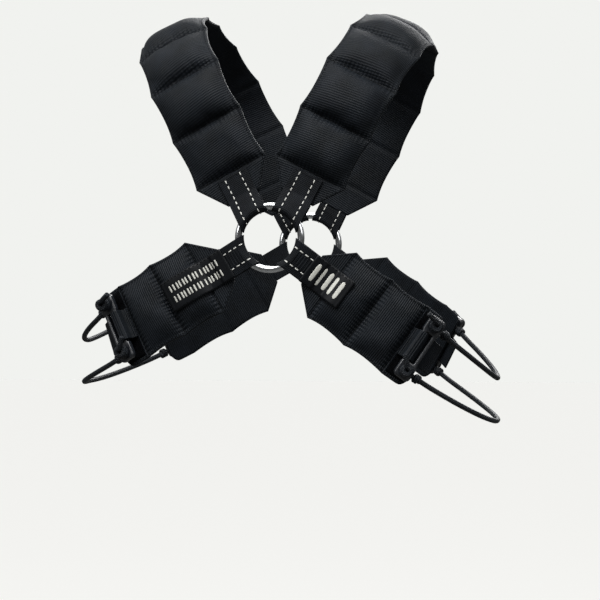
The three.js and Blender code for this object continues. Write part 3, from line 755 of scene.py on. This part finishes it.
def makeLoop(kind, face, side, track, offset):
    pad = shoulderPad if kind == "shoulder" else flankPad
    look = loopLooks[kind]
    radius, wire = (ring["outer"] - ring["wire"]) / 2, ring["wire"] / 2
    half = webbing["thick"] / 2
    fold = wire + webbing["gap"] + half
    low, rest = innerFace + half, innerFace + pad["seamThick"] + webbing["gap"] + half
    lines = []
    for b in acrossWebbing:
        at = math.sqrt(radius ** 2 - (b + offset) ** 2)
        reach = fold * radius / at
        line = [(pad["start"] - webbing["gap"], low), (at + reach + loopFold["clear"], low)]
        line += [(at + reach * loopFold["tuck"], low + loopFold["tuckRise"])]
        for turn in np.linspace(loopFold["firstTurn"], math.pi, loopFold["turns"]):
            line.append((at - reach * math.sin(turn), ring["lift"] - fold * math.cos(turn)))
        line += [(at + reach, ring["lift"] + loopFold["fall"] * fold)]
        line += [(pad["start"] + loopFold["clear"], rest), (look["end"], rest)]
        lines.append(smoothLine(line, 0.5, 3))
    # every column gets as many points as the longest one
    count = max(len(line) for line in lines)
    even = []
    for line in lines:
        t, want = np.linspace(0, 1, len(line)), np.linspace(0, 1, count)
        even.append(np.stack([np.interp(want, t, part) for part in line.T], axis=1))
    lines = np.stack(even)
    outerLeg = np.arange(count) / count > 0.55
    s = lines[:, :, 0]
    ribbed = (np.abs(acrossWebbing)[:, None] < look["rows"] - loopRibs["margin"]) & outerLeg[None, :]
    ribbed = ribbed & (s > loopRibs["first"]) & (s < loopRibs["last"])
    relief = look["ribs"] * np.maximum(0, np.cos(2 * np.pi * s / loopRibs["pitch"])) * ribbed
    name = f"{kind}Loop_{face}_{side}"
    piece, top = stripMesh(name, track, acrossWebbing, lines, webbing["thick"], relief)
    finished(piece, finishes["webbing"], "webbing", f"{kind}_loop_{face}_{side}")
    dash = stitchLooks[kind + "Dash"]
    rows = []
    for edge in (-1, 1):
        j = int(np.argmin(np.abs(acrossWebbing - edge * look["rows"])))
        crest = int(np.argmax((lines[j, :, 1] > ring["lift"] + loopDashes["crest"] * fold) & outerLeg))
        run = lengthsAlong(lines[j])
        last = run[-1] - loopDashes["end"] if kind == "shoulder" else run[crest] + loopDashes["flankReach"]
        at = np.arange(run[crest] - loopDashes["before"], last, dash["pitch"])
        i = np.searchsorted(run, at).clip(1, count - 2)
        along = unit(top[i + 1, j] - top[i - 1, j])
        out = np.cross(along, track.at(lines[j, i, 0])[3])
        rows.append((top[i, j] + out * loopDashes["lift"], along, out))
    sew(name.replace("Loop", "LoopDashes"), rows, dash, "webbing")
    across = np.arange(-loopHem["reach"], loopHem["reach"] + 0.1, loopHem["pitch"])
    columns = [int(np.argmin(np.abs(acrossWebbing - b))) for b in across]
    _, _, out, sideways = track.at(np.full(len(across), look["end"] - loopHem["inset"]))
    rows = [(top[count - 5, columns] + out * loopHem["lift"], sideways, out)]
    sew(name.replace("Loop", "LoopHem"), rows, stitchLooks["hem"], "webbing")
    loopTop[name] = lines[len(acrossWebbing) // 2]


for side in outward:
    for face in ("back", "chest"):
        offset = -upward(face, side) * webbing["offset"]
        makeLoop("shoulder", face, side, trackFrom(face, shoulderTracks[side]), offset)
        makeLoop("flank", face, side, trackFrom(face, flankTracks[side]), 0)
print("loops folded round the rings")


# Labels: black satin ribbon sewn to the back flank pads, marked with plain pale ticks and bars.
label = {"width": 25.5, "thick": 0.6, "start": 38.5, "ends": {"left": 94, "right": 75}, "fold": 2.6,
         "cuts": {"left": 61, "right": 40}, "step": 0.8, "lift": 0.55, "endSink": 0.35,
         "foldRise": {"end": 0.35, "start": 0.3}, "foldSlope": 0.8, "stitchLift": 0.12}
markLooks = {
    # two rows of short ticks
    "left": {"length": 6.0, "width": 1.6, "height": 0.35, "thread": "markYarn", "rows": (-4.4, 4.4),
             "first": 46, "last": 88, "pitch": 2.9},
    # a ladder of broad bars
    "right": {"length": 17, "width": 4.0, "height": 0.4, "thread": "markYarn", "rows": (0,),
              "first": 44.5, "last": 71, "pitch": 5.8},
}
labelHem = {"inset": 1.4, "reach": 11, "pitch": 2.75, "sides": 11.6, "sideInset": 2, "sidePitch": 3.2}


def makeLabel(side):
    track, end = flankTracks[side], label["ends"][side]
    across = np.linspace(-1, 1, 15) * label["width"] / 2
    leg = loopTop[f"flankLoop_back_{side}"]
    leg = leg[int(len(leg) * 0.6):]
    s = np.arange(label["start"], end + 0.01, label["step"])
    leg = np.interp(s, leg[:, 0], leg[:, 1]) + webbing["thick"] / 2
    cloth = onPad(f"flankPadShell_back_{side}", s[None, :], across[:, None])
    height = np.maximum(np.where(s < loopLooks["flank"]["end"] + 0.6, leg, cloth), cloth)
    # the ribbon spans the small folds of the pad under it
    for _ in range(3):
        near = np.pad(height, 1, mode="edge")
        spots = [near[i:i + len(across), j:j + len(s)] for i in range(3) for j in range(3)]
        height = np.maximum.reduce(spots)
    for _ in range(4):
        near = np.pad(height, 1, mode="edge")
        height = (4 * height + near[:-2, 1:-1] + near[2:, 1:-1] + near[1:-1, :-2] + near[1:-1, 2:]) / 8
    height += label["lift"]
    height[:, -1] -= label["endSink"]
    lines = np.stack([np.broadcast_to(s, height.shape), height], axis=2)
    # both ends are folded under, so they are thicker
    fromEnd = lines[:, :, 0] - end + label["fold"]
    relief = label["foldRise"]["end"] * smoothStep(fromEnd / label["foldSlope"])
    fromStart = label["start"] + label["fold"] - lines[:, :, 0]
    relief = relief + label["foldRise"]["start"] * smoothStep(fromStart / label["foldSlope"])
    piece, top = stripMesh(f"satinLabel_{side}", track, across, lines, label["thick"], relief)
    finished(piece, finishes["satin"], "label", f"label_{side}")

    # a stitch on the ribbon, as its point, its direction and the way out
    def stitchAt(run, b, lengthwise=False):
        i = int(np.clip(np.searchsorted(s, run), 1, len(s) - 2))
        j = int(np.argmin(np.abs(across - b)))
        share = (b - across[j]) / (across[1] - across[0])
        k = int(np.clip(j + (1 if share > 0 else -1), 0, len(across) - 1))
        along = unit(top[i + 1, j] - top[i - 1, j])
        aside = unit(top[i, min(j + 1, len(across) - 1)] - top[i, max(j - 1, 0)])
        out = unit(np.cross(along, aside))
        point = between(top[i, j], top[i, k], abs(share)) + out * label["stitchLift"]
        return point, along if lengthwise else aside, out

    look = markLooks[side]
    runs = np.arange(look["first"], look["last"], look["pitch"])
    marks = [stitchAt(run, b) for b in look["rows"] for run in runs]
    yarn = sew(f"labelMarks_{side}", marks, look, "label")
    reach = labelHem["reach"]
    hems = [stitchAt(end - labelHem["inset"], b) for b in np.arange(-reach, reach + 0.1, labelHem["pitch"])]
    first, last = label["start"] + labelHem["sideInset"], end - labelHem["sideInset"]
    for run in np.arange(first, last, labelHem["sidePitch"]):
        hems += [stitchAt(run, edge * labelHem["sides"], True) for edge in (-1, 1)]
    hem = sew(f"labelHem_{side}", hems, stitchLooks["hem"], "label")


for side in outward:
    makeLabel(side)
print("labels sewn on")


# Cord bars: a moulded bar with a slot for the webbing and an eyelet in each end block.
bar = {"length": 56, "blockLength": 14, "blockDepth": 14.5, "barWidth": 3.3, "slot": 5.6, "thick": 4.6,
       "eyelet": 3.0, "corner": 3.4, "round": 1.35, "inset": 7, "slotCorner": 0.8, "slotWall": 0.8}
cord = {"thick": 4.2, "sideSpacing": 34, "bend": 3, "inEyelet": -0.6, "above": 1.5,
        "leavesFlap": 11, "reachesBody": 17, "settled": 24, "step": 2.5}
flapTop = innerFace + flankPad["flapThick"]
barBottom = flapTop + cord["thick"] + 2 * webbing["gap"]
barTop = barBottom + bar["thick"]
barRun = flankPad["last"] + flankPad["flap"] - 8
eyeletAcross = bar["length"] / 2 - bar["inset"]


def arcPoints(x, y, radius, start, end, count):
    return [(x + radius * math.cos(t), y + radius * math.sin(t)) for t in np.linspace(start, end, count)]


# The points with the same points turned half round after them.
def withHalfTurn(points):
    return points + [(-x, -y) for x, y in points]


def barOutline():
    halfLength, halfDepth, corner = bar["length"] / 2, bar["blockDepth"] / 2, bar["corner"]
    waist, halfWaist = halfLength - bar["blockLength"], bar["slot"] / 2 + bar["barWidth"]
    quarter = math.pi / 2
    # round one end block, then in to the waist and out again at the other block
    edge = arcPoints(-halfDepth + corner, -halfLength + corner, corner, 2 * quarter, 3 * quarter, 8)
    edge += arcPoints(halfDepth - corner, -halfLength + corner, corner, 3 * quarter, 4 * quarter, 8)
    edge += [(halfDepth, -waist - 1.5), (halfDepth - 0.4, -waist - 0.3), (halfWaist, -waist + 1.2)]
    edge += [(halfWaist, waist - 1.2), (halfDepth - 0.4, waist + 0.3), (halfDepth, waist + 1.5)]
    slotCorner = bar["slotCorner"]
    slotX, slotY = bar["slot"] / 2 - slotCorner, waist - bar["slotWall"] - slotCorner
    slot = arcPoints(slotX, slotY, slotCorner, 0, quarter, 4)
    slot += arcPoints(-slotX, slotY, slotCorner, quarter, 2 * quarter, 4)
    eyelets = [arcPoints(0, end * eyeletAcross, bar["eyelet"], 0, 2 * math.pi, 25)[:-1] for end in (-1, 1)]
    return [withHalfTurn(edge), withHalfTurn(slot)] + eyelets


# A flat filled curve with a round bevel gives the moulded edges; it is then laid on its flap.
def makeBar(face, side, track):
    curve = bpy.data.curves.new("barOutline", "CURVE")
    curve.dimensions, curve.fill_mode = "2D", "BOTH"
    curve.extrude = bar["thick"] / 2 - bar["round"]
    curve.bevel_depth, curve.bevel_resolution = bar["round"], 3
    curve.offset = -bar["round"]
    for points in barOutline():
        spline = curve.splines.new("POLY")
        spline.points.add(len(points) - 1)
        spline.use_cyclic_u = True
        for point, (x, y) in zip(spline.points, points):
            point.co = (x, y, 0, 1)
    drawn = linked("barOutline", curve)
    bpy.context.view_layer.update()
    mesh = bpy.data.meshes.new_from_object(drawn.evaluated_get(bpy.context.evaluated_depsgraph_get()))
    bpy.data.objects.remove(drawn)
    form = bmesh.new()
    form.from_mesh(mesh)
    bmesh.ops.remove_doubles(form, verts=form.verts, dist=0.01)
    bmesh.ops.recalc_face_normals(form, faces=form.faces)
    point, along, out, across = (Vector(v) for v in track.at(barRun))
    turn = Matrix((along, across, out)).transposed()
    centre = point + out * (barBottom + bar["thick"] / 2)
    for vertex in form.verts:
        vertex.co = (centre + turn @ vertex.co) * mm
    form.to_mesh(mesh)
    form.free()
    mesh.polygons.foreach_set("use_smooth", [True] * len(mesh.polygons))
    mesh.set_sharp_from_angle(angle=math.radians(50))
    piece = linked(f"cordBarMoulding_{face}_{side}", mesh)
    finished(piece, finishes["acetal"], "bar", f"cord_bar_{face}_{side}")


# The webbing that holds the bar: over its inner bar, down through the slot and out under its outer bar.
barStrap = {"ribPitch": 1.8, "ribHeight": 0.16, "foot": 3.5, "rise": 0.7, "flapEnd": 4, "tailEnd": 12}


def makeBarWebbing(face, side, track):
    half = webbing["thick"] / 2
    gap, inner = half + 2 * webbing["gap"], bar["slot"] / 2
    outer = inner + bar["barWidth"]

    def around(run, n, start, end):
        return arcPoints(run, n, gap, math.radians(start), math.radians(end), 7)

    raised = flapTop + half + barStrap["rise"]
    line = [(-outer - gap - barStrap["foot"], flapTop + half + webbing["gap"])]
    line += [(-outer - gap - half, raised), (-outer - gap, barBottom - half)]
    line += around(-outer, barTop, 180, 90) + around(-inner, barTop, 90, 0)
    line += around(inner, barBottom, 180, 270)
    line += [(outer, barBottom - gap), (outer + barStrap["flapEnd"], raised)]
    line += [(outer + barStrap["tailEnd"], innerFace + half)]
    line = smoothLine(line, 0.5, 2)
    line[:, 0] += barRun
    lines = np.repeat(line[None], len(acrossWebbing), axis=0)
    ribs = barStrap["ribHeight"] * np.cos(2 * np.pi * lengthsAlong(line) / barStrap["ribPitch"])
    relief = np.broadcast_to(ribs, lines.shape[:2])
    name = f"barWebbing_{face}_{side}_weave"
    piece, _ = stripMesh(name, track, acrossWebbing, lines, webbing["thick"], relief)
    finished(piece, finishes["grosgrain"], "webbing", f"bar_webbing_{face}_{side}")


# A dull, darker black patch on each flap, from the last chamber to below the bar, with a faintly wavy
# surface.
patch = {"margin": 3.2, "first": 1.6, "last": 17.5, "thick": 0.6, "lift": 0.25, "ripple": 0.12}


def makeFlapPatch(face, side, track):
    across = np.linspace(-1, 1, 25) * (flankPad["width"] / 2 - patch["margin"])
    s = np.arange(flankPad["last"] + patch["first"], flankPad["last"] + patch["last"], 0.9)
    n = flapTop + patch["lift"] + patch["ripple"] * np.sin(s[None, :] * 3.1 + across[:, None] * 2.3)
    lines = np.stack(np.broadcast_arrays(s[None, :], n), axis=2)
    piece, _ = stripMesh(f"dullBlackPatch_{face}_{side}", track, across, lines, patch["thick"])
    finished(piece, finishes["dullBlackCloth"], "padding")


# A round cord along points, with cloth coordinates that wind round it for its braid. Its ends are drawn in.
def cordMesh(name, line, thick, sides=14):
    line = np.asarray(line, float)
    d = unit(np.gradient(line, axis=0))
    u = np.cross(d[0], [0.3, 0.5, 0.8])
    run = lengthsAlong(line)
    points, uv = [], []
    t = np.arange(sides + 1) * 2 * np.pi / sides
    total = len(line)
    for i in range(total):
        u = unit(u - d[i] * np.dot(u, d[i]))
        v = np.cross(d[i], u)
        radius = thick / 2 * (0.72 if i in (0, total - 1) else 1)
        points.append(line[i] + radius * (np.cos(t)[:, None] * u + np.sin(t)[:, None] * v))
        uv.append(np.stack([t * thick / 2, np.full(sides + 1, run[i])], axis=1))
    points, uv = np.array(points)[:, :-1], np.array(uv)
    faces, coords = [], []
    for i in range(total - 1):
        for k in range(sides):
            n = (k + 1) % sides
            faces.append([i * sides + k, i * sides + n, (i + 1) * sides + n, (i + 1) * sides + k])
            coords += [uv[i, k], uv[i, k + 1], uv[i + 1, k + 1], uv[i + 1, k]]
    first = list(range(sides - 1, -1, -1))
    last = [(total - 1) * sides + k for k in range(sides)]
    faces += [first, last]
    coords += [uv[0, k] for k in first] + [uv[-1, k] for k in range(sides)]
    piece = meshFrom(name, points, faces)
    layer = piece.data.uv_layers.new(name="cloth")
    layer.data.foreach_set("uv", np.array(coords, np.float32).ravel())
    return piece


# A short coil whipped round a cord where it leaves its bar.
wrap = {"thick": 2.5, "radius": 2.75, "turns": 2.3, "length": 4.6, "fromBar": 11.5}


def makeCordWrap(name, line, fromEnd):
    at = int(np.searchsorted(lengthsAlong(line), fromEnd))
    d = unit(line[at + 1] - line[at - 1])
    u = unit(np.cross(d, [0.2, 0.9, 0.4]))
    v = np.cross(d, u)
    k = np.linspace(0, 1, 44)
    a = 2 * np.pi * wrap["turns"] * k
    coil = wrap["radius"] * (np.cos(a)[:, None] * u + np.sin(a)[:, None] * v)
    coil += line[at] + (k[:, None] - 0.5) * wrap["length"] * d
    finished(cordMesh(name, coil, wrap["thick"], sides=10), finishes["braid"], "cord")


def makeSideCord(level, side, edge):
    track = flankTracks[side]
    radius = cord["thick"] / 2
    low, overFlap = innerFace + radius, flapTop + webbing["gap"] + radius
    end = [(cord["inEyelet"], barTop + cord["above"]), (cord["inEyelet"], overFlap + cord["bend"])]
    for turn in np.linspace(0, math.pi / 2, 7)[1:]:
        run, n = cord["bend"] * (1 - math.cos(turn)), cord["bend"] * (1 - math.sin(turn))
        end.append((cord["inEyelet"] + run, overFlap + n))
    end += [(cord["leavesFlap"], overFlap), (cord["reachesBody"], low + 1)]
    end = smoothLine(end, 1.0, 2)
    far = track.length - barRun
    middle = np.arange(barRun + cord["settled"], far - cord["settled"] + 0.1, cord["step"])
    s = np.concatenate([barRun + end[:, 0], middle, (far - end[:, 0])[::-1]])
    n = np.concatenate([end[:, 1], np.full(len(middle), low), end[::-1, 1]])
    share = np.clip(np.minimum(s - barRun, far - s) / (track.length / 2 - barRun), 0, 1)
    b = between(edge * eyeletAcross, edge * cord["sideSpacing"] / 2, share)
    line = relaxed(track.place(s, b, n), 3)
    print(f"side cord {level} {side}: {lengthsAlong(line)[-1]:.0f} mm between its bars")
    piece = cordMesh(f"elasticCord_{level}_{side}", line, cord["thick"])
    finished(piece, finishes["braid"], "cord", f"side_cord_{level}_{side}")
    # the cord comes down through the eyelet first, so the coil sits further along it than from the bar
    down = barTop + cord["above"] - overFlap
    makeCordWrap(f"cordWrap_{level}_back_{side}", line, down + wrap["fromBar"])
    makeCordWrap(f"cordWrap_{level}_chest_{side}", line[::-1], down + wrap["fromBar"])


# An overhand knot drawn tight on top of an eyelet: the cord winds round itself, and a short tail sticks out
# towards the pad, upwards.
knot = {"turns": 2.3, "firstAngle": 0.4, "wide": 3.7, "rise": 4.6, "tail": 11, "thicker": 1.02, "tilt": 0.9,
        "lift": 0.6, "below": (3.2, 1.0), "above": 1.6, "narrowing": 0.25, "tiltAngle": 0.8, "toPad": 0.85,
        "tailUp": {"upper": 0.1, "lower": 0.7}, "tailOut": 0.12, "tailLift": 0.6}


def makeKnot(level, face, side, track, edge):
    point, along, out, across = track.at(barRun)
    base = point + across * edge * eyeletAcross + out * (barTop + knot["lift"])
    up = across * (edge if level == "upper" else -edge)
    line = [base - out * below for below in knot["below"]]
    for turn in np.linspace(0, 1, 40):
        a = turn * 2 * math.pi * knot["turns"] + knot["firstAngle"]
        wide = knot["wide"] * smoothStep(turn * 6) * (1 - knot["narrowing"] * turn)
        tilt = knot["tilt"] * math.sin(a + knot["tiltAngle"])
        line.append(base + out * (knot["above"] + knot["rise"] * turn + tilt) + along * wide * math.cos(a)
                    + up * wide * math.sin(a))
    start = line[-1]
    towards = unit(-along * knot["toPad"] + up * knot["tailUp"][level] + out * knot["tailOut"])
    for share in (0.3, 0.6, 0.8, 1.0):
        line.append(start + towards * knot["tail"] * share + out * knot["tailLift"])
    line = relaxed(evenLine(np.array(line), 110), 5)
    piece = cordMesh(f"knot_{level}_{face}_{side}", line, cord["thick"] * knot["thicker"])
    finished(piece, finishes["braid"], "cord", f"cord_knot_{level}_{face}_{side}")


for side in outward:
    for face in ("back", "chest"):
        track, up = trackFrom(face, flankTracks[side]), upward(face, side)
        makeBar(face, side, track)
        makeBarWebbing(face, side, track)
        makeFlapPatch(face, side, track)
        makeKnot("upper", face, side, track, up)
        makeKnot("lower", face, side, track, -up)
    makeSideCord("upper", side, outward[side])
    makeSideCord("lower", side, -outward[side])
print("bars, cords and knots made")


# The floor, plain and pale, below the hanging vest.
def makeStudio():
    mesh = bpy.data.meshes.new("studioFloor")
    size, low = 30, -1.35
    mesh.from_pydata([(-size, -size, low), (size, -size, low), (size, size, low), (-size, size, low)], [],
                     [(0, 1, 2, 3)])
    floor = linked("studioFloor", mesh)
    material = bpy.data.materials.new("paleFloor")
    material.use_nodes = True
    paper = material.node_tree
    shader = paper.nodes["Principled BSDF"]
    shader.inputs["Roughness"].default_value = 0.9
    shader.inputs["Specular IOR Level"].default_value = 0.0
    # pale to the camera, but darker to the vest, so that little light comes back up from below
    seen = addNode(paper, "ShaderNodeLightPath")
    toVest, toCamera = linear("#5f5f5e"), linear("#fdfdfb")
    tone = addNode(paper, "ShaderNodeMix", {"data_type": "RGBA", 6: toVest, 7: toCamera},
                   {0: seen.outputs["Is Camera Ray"]})
    paper.links.new(tone.outputs[2], shader.inputs["Base Color"])
    mesh.materials.append(material)
    world = bpy.data.worlds.new("studioSky")
    world.use_nodes = True
    tree = world.node_tree
    sky = tree.nodes["Background"]
    sky.inputs[0].default_value = linear("#f6f6f5")
    # light comes mostly from above; what is level with the vest is dark, which polished pieces mirror
    facing = addNode(tree, "ShaderNodeTexCoord")
    axes = addNode(tree, "ShaderNodeSeparateXYZ", {}, {0: facing.outputs["Generated"]})
    above = addNode(tree, "ShaderNodeMapRange", {1: 0.0, 2: 1.0, 3: 0.12, 4: 1.4}, {0: axes.outputs["Z"]})
    tree.links.new(above.outputs[0], sky.inputs[1])
    path = addNode(tree, "ShaderNodeLightPath")
    # the wall that the camera sees is as pale as the floor that meets it
    wall = addNode(tree, "ShaderNodeBackground", {"Color": linear("#f1f2ef"), "Strength": 1.0})
    mixed = addNode(tree, "ShaderNodeMixShader", {}, {0: path.outputs["Is Camera Ray"], 1: sky.outputs[0],
                                                      2: wall.outputs[0]})
    tree.links.new(mixed.outputs[0], tree.nodes["World Output"].inputs["Surface"])
    scene.world = world
    lamps = {"overhead": ((-0.1, -0.9, 1.35), 60, 1.0), "behindLeft": ((-1.6, -1.7, 0.6), 18, 1.0),
             "behindRight": ((1.7, -1.4, 0.7), 14, 1.0), "chestFill": ((0.2, 2.0, 0.9), 48, 1.4)}
    for name, (place, power, size) in lamps.items():
        data = bpy.data.lights.new(name, "AREA")
        data.energy, data.size = power, size
        lamp = linked(name, data)
        lamp.location = place
        lamp.rotation_euler = (Vector((0, 0, -0.15)) - Vector(place)).to_track_quat("-Z", "Y").to_euler()


makeStudio()
